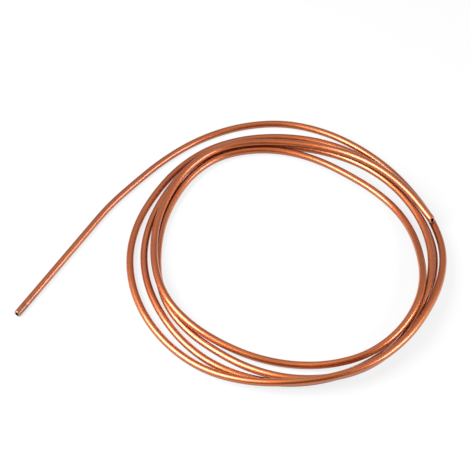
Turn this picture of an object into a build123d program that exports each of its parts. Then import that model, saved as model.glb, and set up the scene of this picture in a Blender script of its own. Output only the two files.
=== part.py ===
from build123d import *

import os
from math import ceil, cos, floor, pi, radians, sin, tan

# The object is one length of annealed copper tube, lying in a loose coil of a little over
# four turns with a nearly straight tail. Lengths are in millimetres and angles in degrees.

# Tube
OUTER_DIAMETER = 5.0
WALL = 0.75
EDGE_BREAK = 0.1

# Coil. The tube runs clockwise seen from above, and places round it are clock hours: 12 is the
# far side of the coil and 3 is the right-hand side. Hours go on counting up from turn to turn.
COIL_RADIUS = 97.5
TURN_CLEARANCE = 0.5
FIRST_HOUR = -1
LAST_HOUR = 50.55
CORNERS_PER_HOUR = 2

# How far outside the coil radius the tube runs at each hour, in pitches of touching turns.
SPREAD = [
    3.95,
    3.70, 1.70, 0.75, 1.10, 0.80, 1.65, 1.70, 1.80, 1.70, 1.60, 1.30, 1.95,
    1.35, 0.70, -0.40, 0.10, -0.10, 0.40, 0.80, 0.60, -0.10, -0.10, 0.05, 1.00,
    -0.25, -0.65, -0.90, -0.45, -0.05, 1.20, 0.85, -1.10, -1.25, -1.85, -1.25, 0.00,
    -1.30, -2.95, -2.50, -1.95, -0.45, 0.00, -1.75, -2.15, -1.40, -1.40, -0.60, 0.70,
    -0.50, -0.60, -0.55, 1.30, 1.30,
]

# How high the tube has climbed over the turns below it at each hour, in the same pitches.
CLIMB = [
    0.00,
    0.05, 0.10, 0.00, 0.50, 1.45, 1.95, 1.70, 0.20, 0.00, 0.10, 0.00, 0.00,
    0.00, 0.05, 0.00, 0.05, 0.00, 0.00, 0.00, 0.05, 0.20, 0.00, 0.15, 0.15,
    0.00, 0.30, 0.90, 0.95, 1.00, 0.75, 1.10, 0.15, 0.10, 0.00, 0.20, 0.30,
    0.30, 0.20, 0.00, 1.00, 1.90, 1.25, 0.05, 0.50, 1.20, 0.90, 0.95, 1.10,
    0.95, 1.35, 2.00, 0.60, 0.60,
]

# Past the last hour above, the tube follows the turn before it, this much higher.
TURN_CLIMB = 1.0

# Tail: straight runs from the first hour outwards, each a length and a compass heading
# counted anticlockwise from the right-hand side.
TAIL_RUNS = [(32.0, 217.5), (33.0, 228.0), (24.0, 230.5), (106.0, 238.5)]

# Each bend takes up this share of the shorter straight run beside it.
BEND_SHARE = 0.45

PITCH = OUTER_DIAMETER + TURN_CLEARANCE
BORE_DIAMETER = OUTER_DIAMETER - 2 * WALL
HOURS_PER_TURN = 12
HOUR_ANGLE = 360 / HOURS_PER_TURN


def at_hour(values, k, turn_rise):
    """Value k hours after the first, from the turn before it where the list has run out."""
    turns = max(ceil((k + 1 - len(values)) / HOURS_PER_TURN), 0)
    return values[max(k, 0) - turns * HOURS_PER_TURN] + turns * turn_rise


def between_hours(values, hour, turn_rise):
    """Smooth curve through one value an hour, worked out at any time between them."""
    k = floor(hour - FIRST_HOUR)
    f = hour - FIRST_HOUR - k
    before, here, after, beyond = [at_hour(values, k + i, turn_rise) for i in (-1, 0, 1, 2)]
    slope = after - before
    bow = 2 * before - 5 * here + 4 * after - beyond
    twist = 3 * (here - after) + beyond - before
    return here + 0.5 * f * (slope + f * (bow + f * twist))


def coil_point(hour, half_corner):
    """Centre of the tube at one clock hour, a touch outside the curve so that bends meet it."""
    radius = (COIL_RADIUS + PITCH * between_hours(SPREAD, hour, 0)) / cos(radians(half_corner))
    angle = radians(90 - HOUR_ANGLE * hour)
    height = OUTER_DIAMETER / 2 + PITCH * max(between_hours(CLIMB, hour, TURN_CLIMB), 0)
    return Vector(radius * cos(angle), radius * sin(angle), height)


def route_points():
    """Corner points of the tube's centre line, from the tip of the tail to the end on the coil."""
    steps = round((LAST_HOUR - FIRST_HOUR) * CORNERS_PER_HOUR)
    hour_step = (LAST_HOUR - FIRST_HOUR) / steps
    half_corner = HOUR_ANGLE * hour_step / 2
    coil = [coil_point(FIRST_HOUR + i * hour_step, half_corner) for i in range(steps + 1)]
    tail = []
    point = coil[0]
    for length, heading in TAIL_RUNS:
        point = point + Vector(length * cos(radians(heading)), length * sin(radians(heading)), 0)
        tail.insert(0, point)
    return tail + coil


def bend_radii(points):
    """One bend radius for each inner corner, from the runs beside it and its turning angle."""
    radii = []
    for before, corner, after in zip(points, points[1:], points[2:]):
        first, second = corner - before, after - corner
        turn = radians(first.get_angle(second))
        shorter = min(first.length, second.length)
        radii.append(BEND_SHARE * shorter / tan(turn / 2))
    return radii


def tube(path):
    """Hollow round tube along the path, with the edges of both cut ends just broken."""
    start = Plane(origin=path @ 0, z_dir=path % 0)
    ring = start * (Circle(OUTER_DIAMETER / 2) - Circle(BORE_DIAMETER / 2))
    body = sweep(ring, path=path)
    circles = body.edges().filter_by(GeomType.CIRCLE)
    rims = [e for e in circles for cut in (path @ 0, path @ 1) if (e.arc_center - cut).length < WALL / 2]
    return chamfer(rims, EDGE_BREAK)


points = route_points()
path = FilletPolyline(*points, radius=bend_radii(points))
coil = tube(path)

# The part stands on the middle of its own footprint.
box = coil.bounding_box()
coil = Pos(-(box.min.X + box.max.X) / 2, -(box.min.Y + box.max.Y) / 2, -box.min.Z) * coil
coil.label = "copper_tube"

section = pi / 4 * (OUTER_DIAMETER ** 2 - BORE_DIAMETER ** 2)
print(f"length {path.length:.1f} mm, volume {coil.volume:.1f} mm3, "
      f"section by length {section * path.length:.1f} mm3")

os.makedirs("parts", exist_ok=True)
export_step(coil, "parts/copper_tube.step")
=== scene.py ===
import bpy
import numpy as np
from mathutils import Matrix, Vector


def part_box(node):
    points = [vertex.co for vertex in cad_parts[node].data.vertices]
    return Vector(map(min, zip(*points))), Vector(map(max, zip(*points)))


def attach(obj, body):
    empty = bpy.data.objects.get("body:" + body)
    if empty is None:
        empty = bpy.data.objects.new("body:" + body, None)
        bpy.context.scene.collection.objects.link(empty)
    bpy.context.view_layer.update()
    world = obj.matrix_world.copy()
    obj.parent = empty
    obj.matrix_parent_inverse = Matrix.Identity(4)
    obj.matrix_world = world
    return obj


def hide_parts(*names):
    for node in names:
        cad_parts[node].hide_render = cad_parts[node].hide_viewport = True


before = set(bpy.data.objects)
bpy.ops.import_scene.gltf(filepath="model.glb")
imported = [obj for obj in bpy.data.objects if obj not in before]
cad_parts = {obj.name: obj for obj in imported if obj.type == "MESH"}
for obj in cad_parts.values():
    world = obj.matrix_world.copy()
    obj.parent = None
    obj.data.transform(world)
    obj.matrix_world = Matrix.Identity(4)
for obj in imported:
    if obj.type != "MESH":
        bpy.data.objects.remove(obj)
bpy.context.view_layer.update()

# One length of bare annealed copper tube in a loose hand-wound coil. Lengths are in metres.

NODE = "copper_tube"
MM = 0.001

# ---- The tube and its route, as the solid has them

OUTER_RADIUS = 2.5 * MM
WALL = 0.75 * MM
BORE_RADIUS = OUTER_RADIUS - WALL
PITCH = 5.5 * MM
COIL_RADIUS = 97.5 * MM
FIRST_HOUR = -1
LAST_HOUR = 50.55
CORNERS_PER_HOUR = 2
HOUR_ANGLE = np.radians(30.0)

# How far outside the coil radius the tube runs at each clock hour, in pitches.
SPREAD = np.array([
    3.95,
    3.70, 1.70, 0.75, 1.10, 0.80, 1.65, 1.70, 1.80, 1.70, 1.60, 1.30, 1.95,
    1.35, 0.70, -0.40, 0.10, -0.10, 0.40, 0.80, 0.60, -0.10, -0.10, 0.05, 1.00,
    -0.25, -0.65, -0.90, -0.45, -0.05, 1.20, 0.85, -1.10, -1.25, -1.85, -1.25, 0.00,
    -1.30, -2.95, -2.50, -1.95, -0.45, 0.00, -1.75, -2.15, -1.40, -1.40, -0.60, 0.70,
    -0.50, -0.60, -0.55, 1.30, 1.30,
])

# How high the tube has climbed over the turns below it at each hour, in pitches.
CLIMB = np.array([
    0.00,
    0.05, 0.10, 0.00, 0.50, 1.45, 1.95, 1.70, 0.20, 0.00, 0.10, 0.00, 0.00,
    0.00, 0.05, 0.00, 0.05, 0.00, 0.00, 0.00, 0.05, 0.20, 0.00, 0.15, 0.15,
    0.00, 0.30, 0.90, 0.95, 1.00, 0.75, 1.10, 0.15, 0.10, 0.00, 0.20, 0.30,
    0.30, 0.20, 0.00, 1.00, 1.90, 1.25, 0.05, 0.50, 1.20, 0.90, 0.95, 1.10,
    0.95, 1.35, 2.00, 0.60, 0.60,
])

# Tail: runs from the first hour outwards, each a length and a heading in degrees.
TAIL_RUNS = ((32.0 * MM, 217.5), (33.0 * MM, 228.0), (24.0 * MM, 230.5), (106.0 * MM, 238.5))

BEND_POINTS = 24
LINE_STEP = 1.0 * MM


def between_hours(values, hours):
    """Catmull-Rom curve through one value an hour, at many times at once."""
    place = hours - FIRST_HOUR
    k = np.minimum(np.floor(place).astype(int), len(values) - 2)
    f = place - k
    before, here, after = values[np.maximum(k - 1, 0)], values[k], values[k + 1]
    beyond = values[np.minimum(k + 2, len(values) - 1)]
    bow = 2 * before - 5 * here + 4 * after - beyond
    twist = 3 * (here - after) + beyond - before
    return here + 0.5 * f * (after - before + f * (bow + f * twist))


def route_corners():
    """Corner points of the route: the tail's runs, then about two a clock hour round the coil.

    At each hour the radius is the coil's plus the spread, and the height is the tube's radius
    plus the climb. The corners lie a touch outside, so that the smooth line through the middles
    of the runs meets that radius."""
    steps = round((LAST_HOUR - FIRST_HOUR) * CORNERS_PER_HOUR)
    hours = np.linspace(FIRST_HOUR, LAST_HOUR, steps + 1)
    radius = COIL_RADIUS + PITCH * between_hours(SPREAD, hours)
    radius = radius / np.cos(HOUR_ANGLE * (hours[1] - hours[0]) / 2)
    angle = np.pi / 2 - HOUR_ANGLE * hours
    height = OUTER_RADIUS + PITCH * np.maximum(between_hours(CLIMB, hours), 0)
    coil = np.stack([radius * np.cos(angle), radius * np.sin(angle), height], axis=1)
    lengths, headings = np.array(TAIL_RUNS).T
    headings = np.radians(headings)
    runs = np.stack([lengths * np.cos(headings), lengths * np.sin(headings), 0 * lengths], axis=1)
    tail = coil[0] + np.cumsum(runs, axis=0)
    return np.concatenate([tail[::-1], coil])


def smooth_line(corners, spacing):
    """Straight runs joined by bends that take half the shorter run beside them, at even steps.

    Each bend goes from A to B, pulled towards its corner C:
    (1 - t)^2 A + 2 t (1 - t) C + t^2 B."""
    runs = np.diff(corners, axis=0)
    lengths = np.linalg.norm(runs, axis=1, keepdims=True)
    runs = runs / lengths
    half = 0.5 * np.minimum(lengths[:-1], lengths[1:])
    corner = corners[1:-1]
    t = np.linspace(0, 1, BEND_POINTS)[None, :, None]
    bends = (
        (1 - t) ** 2 * (corner - half * runs[:-1])[:, None] + 2 * t * (1 - t) * corner[:, None]
        + t ** 2 * (corner + half * runs[1:])[:, None]
    )
    line = np.concatenate([corners[:1], bends.reshape(-1, 3), corners[-1:]])
    run = np.concatenate([[0], np.cumsum(np.linalg.norm(np.diff(line, axis=0), axis=1))])
    even = np.linspace(0, run[-1], int(round(run[-1] / spacing)) + 1)
    return np.stack([np.interp(even, run, line[:, i]) for i in range(3)], axis=1), even


def frames(line):
    """Along, sideways and upwards directions at each point: sideways is level."""
    along = np.gradient(line, axis=0)
    along /= np.linalg.norm(along, axis=1, keepdims=True)
    side = np.cross(along, [0, 0, 1])
    side /= np.linalg.norm(side, axis=1, keepdims=True)
    return along, side, np.cross(side, along)


# ---- Placing the route in the frame

LINE, run = smooth_line(route_corners(), LINE_STEP)
ALONG, SIDE, RISE = frames(LINE)
reach = OUTER_RADIUS * np.sqrt(1 - ALONG ** 2)
node_low, node_high = (np.array(corner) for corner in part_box(NODE))
COIL_CENTRE = (node_low + node_high - (LINE - reach).min(axis=0) - (LINE + reach).max(axis=0)) / 2
LINE += COIL_CENTRE
TUBE_LENGTH = run[-1]


# ---- The skin: outer wall, two cut ends and the bore, as one closed surface

SIDES = 40
WALL_STEP = 2.0 * MM
BORE_STEP = 10.0 * MM

# A cut end, from the bore out over the rim to the outer wall: depth back from the tip in
# millimetres, radius as a share of the outer one, and how far the rim is squeezed there.
CUT_END = np.array([
    (6.00, 0.700, 0.0), (3.00, 0.680, 0.1), (1.80, 0.640, 0.3), (1.00, 0.580, 0.6),
    (0.50, 0.560, 0.9), (0.20, 0.550, 1.0), (0.05, 0.580, 1.0), (0.00, 0.650, 0.9),
    (0.03, 0.800, 0.6), (0.12, 0.920, 0.4), (0.35, 0.975, 0.2), (0.75, 0.990, 0.1),
    (1.20, 0.995, 0.1), (2.40, 1.000, 0.0),
])
TAIL_SQUEEZE = 0.12
COIL_SQUEEZE = 0.22

# The first rings of a cut end that are inside the bore.
INNER_RINGS = 7

# How far the upper side of each cut is set back from its lower side, so that it slants, and
# how far along the tube the slant fades out.
TAIL_SLANT = 0.2 * MM
COIL_SLANT = 1.5 * MM
SLANT_FADE = 9 * MM

# Shares of the radius that bending by hand takes off: the flattening and the thinner stretches.
FLATTENING = 0.005
WAIST = 0.003

# The bore's place along the tube counts on from here, so that the two sides can be told apart.
INSIDE = 10.0


def rings():
    """Place along the tube, radius share, squeeze and slant of every ring, once round the skin.

    The tail's end comes first, then the outer wall to the other end, over that rim, and back
    down the bore. The slant fades out evenly from each end."""
    depth, share, squeeze = CUT_END.T
    depth = depth * MM
    wall = np.arange(depth[-1] + WALL_STEP, TUBE_LENGTH - depth[-1] - WALL_STEP / 2, WALL_STEP)
    bore = np.arange(TUBE_LENGTH - depth[0] - BORE_STEP, depth[0] + BORE_STEP / 2, -BORE_STEP)
    place = np.concatenate([depth, wall, TUBE_LENGTH - depth[::-1], bore])
    bore_share = bore * 0 + BORE_RADIUS / OUTER_RADIUS
    radius = np.concatenate([share, wall * 0 + 1, share[::-1], bore_share])
    tail_pinch, coil_pinch = TAIL_SQUEEZE * squeeze, COIL_SQUEEZE * squeeze[::-1]
    pinch = np.concatenate([tail_pinch, wall * 0, coil_pinch, bore * 0])
    slant = TAIL_SLANT * np.clip(1 - place / SLANT_FADE, 0, 1)
    slant -= COIL_SLANT * np.clip(1 - (TUBE_LENGTH - place) / SLANT_FADE, 0, 1)
    mouth = np.arange(len(depth)) < INNER_RINGS
    inner = np.concatenate([mouth, wall * 0, mouth[::-1], bore * 0 + 1])
    return place, radius, pinch, slant, inner


def tube_skin():
    """Grid of rings by angles: centre(s) + r (cos a sideways + sin a upwards).

    r is the ring's radius, less a flattening that bending by hand leaves, 1 - cos 2a, swelling
    and fading along the tube, less thinner stretches that go all round, 1 + sin s, less three
    lobes at a squeezed rim, 1 + cos 3a. The slant moves each point along by (1 + sin a) / 2."""
    place, share, pinch, slant, inner = rings()
    a = np.linspace(0, 2 * np.pi, SIDES, endpoint=False)[None, :]
    s = place[:, None] + slant[:, None] * (1 + np.sin(a)) / 2
    line, side, rise = (
        np.stack([np.interp(s, run, part[:, i]) for i in range(3)], axis=2)
        for part in (LINE, SIDE, RISE)
    )
    flat = FLATTENING * (1 - np.cos(2 * (a - 0.4))) * (0.6 + 0.4 * np.sin(s / 0.043))
    waist = WAIST * (1 + np.sin(s / 0.017 + 1.3 * np.sin(s / 0.06)))
    lobes = pinch[:, None] * (1 + np.cos(3 * (a - 0.5))) / 2
    radius = (OUTER_RADIUS * share[:, None] * (1 - flat - waist) * (1 - lobes))[..., None]
    points = line + radius * (np.cos(a)[..., None] * side + np.sin(a)[..., None] * rise)
    along = s + INSIDE * inner[:, None]
    skin = np.stack(np.broadcast_arrays(np.cos(a), np.sin(a), along), axis=2)
    return points, skin


def closed_grid(name, points, skin):
    """Mesh of quads on a grid that closes on itself both ways, with its own place attribute.

    Each quad joins point (i, j) to (i, j + 1), (i + 1, j + 1) and (i + 1, j)."""
    rows, columns = points.shape[:2]
    i, j = np.meshgrid(np.arange(rows), np.arange(columns), indexing="ij")
    row, next_row, next_j = i * columns, (i + 1) % rows * columns, (j + 1) % columns
    quads = np.stack([row + j, row + next_j, next_row + next_j, next_row + j], axis=2)
    mesh = bpy.data.meshes.new(name)
    mesh.from_pydata(points.reshape(-1, 3).tolist(), [], quads.reshape(-1, 4).tolist())
    mesh.polygons.foreach_set("use_smooth", np.ones(len(mesh.polygons), bool))
    place = mesh.attributes.new("skin", "FLOAT_VECTOR", "POINT")
    place.data.foreach_set("vector", skin.reshape(-1).astype(np.float32))
    piece = bpy.data.objects.new(name, mesh)
    bpy.context.scene.collection.objects.link(piece)
    return piece


# ---- Shader maths


class Wire:
    """One value or colour coming out of a shader node. Sums and products add Math nodes."""

    def __init__(self, tree, socket):
        self.tree, self.socket = tree, socket

    def maths(self, operation, *values):
        return node(self.tree, "Math", {"operation": operation}, values)

    def __add__(self, other):
        return self.maths("ADD", self, other)

    def __sub__(self, other):
        return self.maths("SUBTRACT", self, other)

    def __rsub__(self, other):
        return self.maths("SUBTRACT", other, self)

    def __mul__(self, other):
        return self.maths("MULTIPLY", self, other)

    __radd__, __rmul__ = __add__, __mul__

    def clamp(self):
        return node(self.tree, "Clamp", {}, [self])

    def step(self, low, high):
        """0 below low, 1 above high, smooth between."""
        return node(self.tree, "MapRange", {"interpolation_type": "SMOOTHSTEP"},
                    {"Value": self, "From Min": low, "From Max": high})


def node(tree, kind, settings, values, out=0):
    """Adds a shader node, sets it, then fills its sockets with numbers, colours or wires."""
    made = tree.nodes.new("ShaderNode" + kind)
    for name, value in settings.items():
        setattr(made, name, value)
    pairs = values.items() if isinstance(values, dict) else enumerate(values)
    for name, value in pairs:
        if isinstance(value, Wire):
            tree.links.new(value.socket, made.inputs[name])
        else:
            made.inputs[name].default_value = value
    return Wire(tree, made.outputs[out])


def colour(red, green, blue):
    """Linear colour from a screen colour of 0 to 255."""
    screen = np.array([red, green, blue]) / 255
    linear = np.where(screen <= 0.04045, screen / 12.92, ((screen + 0.055) / 1.055) ** 2.4)
    return (*linear.tolist(), 1.0)


def material(name):
    """New material, with its node tree and its main shader."""
    made = bpy.data.materials.new(name)
    made.use_nodes = True
    tree = made.node_tree
    return made, tree, tree.nodes["Principled BSDF"]


def mix(tree, factor, low, high):
    """Colour low at factor 0, high at factor 1."""
    return node(tree, "Mix", {"data_type": "RGBA"}, {0: factor, 6: low, 7: high}, out=2)


def noise(tree, place, scale, detail, roughness=0.55):
    """Soft random pattern of 0 to 1."""
    return node(tree, "TexNoise", {}, {"Vector": place, "Scale": scale, "Detail": detail,
                                       "Roughness": roughness})


def stretch(tree, place, factors):
    """Place with each direction multiplied by its own factor."""
    return node(tree, "VectorMath", {"operation": "MULTIPLY"}, [place, factors])


BARE, BARE_PALE = colour(198, 96, 42), colour(216, 120, 60)
DULL = colour(174, 90, 52)
# Underside colour: partly tarnish, partly painted shade. Lowest colour: painted shade on the
# tube's lowest side, for its shaded lower edge.
UNDERSIDE_TARNISH_AND_SHADE, LOWEST_PAINTED_SHADE = colour(142, 58, 24), colour(88, 48, 32)
TARNISH = colour(124, 72, 52)
TAIL_RIM, COIL_RIM = colour(188, 152, 134), colour(246, 210, 192)
# Painted shade: a near-black colour for the inside of the bore.
BORE_PAINTED_SHADE = colour(44, 18, 10)


def annealed_copper():
    """Bare soft copper with a thin film: draw lines along the tube, slow drifts of tone, a tail
    that is darker over its last stretch, tarnish by its tip, a browner underside that is partly
    tarnish and partly painted shade, painted shade darkest at its lowest side, pale burrs on the
    cut rims and painted shade in the bore.

    s is the place along the tube from the tail's tip, and up is 1 on top and -1 underneath."""
    made, tree, shader = material("annealed_copper")
    place = node(tree, "Attribute", {"attribute_name": "skin"}, [], out=1)
    at = node(tree, "TexCoord", {}, [], out=3)
    s = node(tree, "SeparateXYZ", {}, [place], out=2)
    up = node(tree, "SeparateXYZ", {}, [place], out=1)
    lines = noise(tree, stretch(tree, place, (7.0, 7.0, 9.0)), 1.0, 3.0)
    drift = noise(tree, at, 22.0, 3.0)
    mottle = noise(tree, at, 420.0, 4.0, 0.65)
    patch = noise(tree, at, 160.0, 3.0)

    tone = (0.55 * lines + 0.45 * drift).step(0.36, 0.64)
    body = mix(tree, tone, BARE, BARE_PALE)
    blotches = (0.5 * patch + 0.5 * mottle).step(0.52, 0.68)
    # The tail is darker up to 120 mm from its tip, fading out by 220 mm.
    dull = blotches * 0.30 + 0.5 * (1 - s.step(120 * MM, 220 * MM))
    body = mix(tree, dull.clamp(), body, DULL)
    # Painted shade, partly tarnish: the underside gets browner and darker.
    under_tarnish_and_shade = 1 - up.step(-0.30, 0.55)
    body = mix(tree, under_tarnish_and_shade * 0.8, body, UNDERSIDE_TARNISH_AND_SHADE)
    # Painted shade: the lowest side gets darkest, for the tube's shaded lower edge; there it also
    # loses most of its coat and gets rougher.
    low = 1 - up.step(-0.60, 0.05)
    body = mix(tree, low * 0.85, body, LOWEST_PAINTED_SHADE)
    old = (1 - s.step(10 * MM, 24 * MM)) * (0.6 * mottle + 0.4 * patch).step(0.46, 0.54)
    body = mix(tree, old * 0.7, body, TARNISH)
    body = mix(tree, 0.6 - 0.6 * s.step(0.4 * MM, 0.9 * MM), body, TAIL_RIM)
    burr = s.step(TUBE_LENGTH - 1.8 * MM, TUBE_LENGTH - 0.8 * MM)
    body = mix(tree, (0.85 * burr).clamp(), body, COIL_RIM)
    # Painted shade: the bore and the rings of each cut end inside it get a near-black colour.
    inside = s.step(INSIDE - 1.0, INSIDE - 0.9)
    body = mix(tree, inside, body, BORE_PAINTED_SHADE)
    tree.links.new(body.socket, shader.inputs["Base Color"])
    shader.inputs["Metallic"].default_value = 1.0
    rough = 0.37 + 0.05 * lines + 0.05 * mottle + 0.12 * old + 0.5 * inside + 0.1 * low
    tree.links.new(rough.socket, shader.inputs["Roughness"])
    film = (1.0 - inside) * (1.0 - 0.7 * low)
    tree.links.new(film.socket, shader.inputs["Coat Weight"])
    shader.inputs["Coat Roughness"].default_value = 0.20
    shader.inputs["Coat IOR"].default_value = 1.65
    bump = node(tree, "Bump", {}, {"Strength": 0.04, "Distance": 0.2 * MM, "Height": lines})
    tree.links.new(bump.socket, shader.inputs["Normal"])
    return made


# ---- The piece

copper = annealed_copper()
tube = closed_grid("tube_skin", *tube_skin())
tube.data.materials.append(copper)
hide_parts(NODE)
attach(tube, "root")

# ---- Floor, light and camera


def plane(name, centre, right, up, half_width, half_height):
    """Flat card of one face, facing the cross product of right and up."""
    centre, right, up = (np.array(v, float) for v in (centre, right, up))
    right /= np.linalg.norm(right)
    up /= np.linalg.norm(up)
    corners = [centre + i * half_width * right + j * half_height * up
               for i, j in ((-1, -1), (1, -1), (1, 1), (-1, 1))]
    mesh = bpy.data.meshes.new(name)
    mesh.from_pydata([tuple(c) for c in corners], [], [(0, 1, 2, 3)])
    made = bpy.data.objects.new(name, mesh)
    bpy.context.scene.collection.objects.link(made)
    return made


FLOOR_GLOW = 0.80


def floor_material():
    """Matt white that glows up to white in the picture and in the metal."""
    made, tree, shader = material("floor_white")
    shader.inputs["Base Color"].default_value = (0.8, 0.8, 0.8, 1.0)
    shader.inputs["Roughness"].default_value = 0.9
    shader.inputs["Specular IOR Level"].default_value = 0.0
    rays = tree.nodes.new("ShaderNodeLightPath")
    picture, metal, glass = (
        Wire(tree, rays.outputs[f"Is {name} Ray"])
        for name in ("Camera", "Glossy", "Transmission")
    )
    glow = node(tree, "Emission", {}, {"Color": (1, 1, 1, 1), "Strength": 1.0})
    share = FLOOR_GLOW * (picture + metal + glass)
    both = node(tree, "MixShader", {}, {0: share, 1: Wire(tree, shader.outputs[0]), 2: glow})
    tree.links.new(both.socket, tree.nodes["Material Output"].inputs["Surface"])
    return made


floor = plane("floor", (0, 0, 0), (1, 0, 0), (0, 1, 0), half_width=6.0, half_height=6.0)
floor.data.materials.append(floor_material())


def aside(compass, height, distance):
    """Place at a compass heading and a height angle, both in degrees, from the coil's middle."""
    compass, height = np.radians(compass), np.radians(height)
    level = np.cos(height)
    return COIL_CENTRE + distance * np.array(
        [level * np.cos(compass), level * np.sin(compass), np.sin(height)])


def soft_light(name, place, width, height, power):
    """Soft lamp of one even panel that faces the middle of the coil."""
    lamp = bpy.data.lights.new(name, "AREA")
    lamp.shape, lamp.size, lamp.size_y, lamp.energy = "RECTANGLE", width, height, power
    made = bpy.data.objects.new(name, lamp)
    made.location = place
    made.rotation_euler = Vector(COIL_CENTRE - place).to_track_quat("-Z", "Y").to_euler()
    bpy.context.scene.collection.objects.link(made)


soft_light("overhead", aside(90, 70, 1.40), width=1.60, height=1.20, power=2.0)
soft_light("left", aside(-164, 42, 0.72), width=0.44, height=0.50, power=7.8)
soft_light("right", aside(-14, 32, 0.95), width=0.50, height=0.30, power=4.8)

# A dark grey curtain behind the camera, which the near sides of the tube reflect.
CURTAIN_HEIGHT = 34
curtain_place = aside(-90, CURTAIN_HEIGHT, 1.45)
curtain_lean = np.radians(CURTAIN_HEIGHT)
curtain_up = (0, np.sin(curtain_lean), np.cos(curtain_lean))
curtain = plane("curtain", curtain_place, (1, 0, 0), curtain_up, 0.85, 1.00)
cloth, _, cloth_shader = material("curtain_cloth")
cloth_shader.inputs["Base Color"].default_value = colour(72, 67, 64)
cloth_shader.inputs["Roughness"].default_value = 1.0
curtain.data.materials.append(cloth)

world = bpy.data.worlds.new("studio")
world.use_nodes = True
bpy.context.scene.world = world
background = world.node_tree.nodes["Background"]
background.inputs["Color"].default_value = (1, 1, 1, 1)
background.inputs["Strength"].default_value = 0.35

# The camera looks down on the coil as the photograph does: its height angle, its distance in
# tube diameters and its lens, in pixels of focal length, come from how the tube's width changes.
LOOK_DOWN = np.radians(52.0)
FOCAL_PIXELS = 1600.0
TUBE_PIXELS = 7.35
FRAME_PIXELS = 470
AIM = COIL_CENTRE + np.array([-35.84, 18.93, 0.0]) * MM
distance = FOCAL_PIXELS / TUBE_PIXELS * 2 * OUTER_RADIUS
camera_data = bpy.data.cameras.new("camera")
camera_data.sensor_width = 36.0
camera_data.lens = FOCAL_PIXELS / FRAME_PIXELS * camera_data.sensor_width
camera_data.clip_start, camera_data.clip_end = 0.05, 50.0
camera = bpy.data.objects.new("camera", camera_data)
camera.location = AIM + distance * np.array([0, -np.cos(LOOK_DOWN), np.sin(LOOK_DOWN)])
camera.rotation_euler = (np.pi / 2 - LOOK_DOWN, 0, 0)
bpy.context.scene.collection.objects.link(camera)
bpy.context.scene.camera = camera
bpy.context.scene.view_settings.view_transform = "Standard"
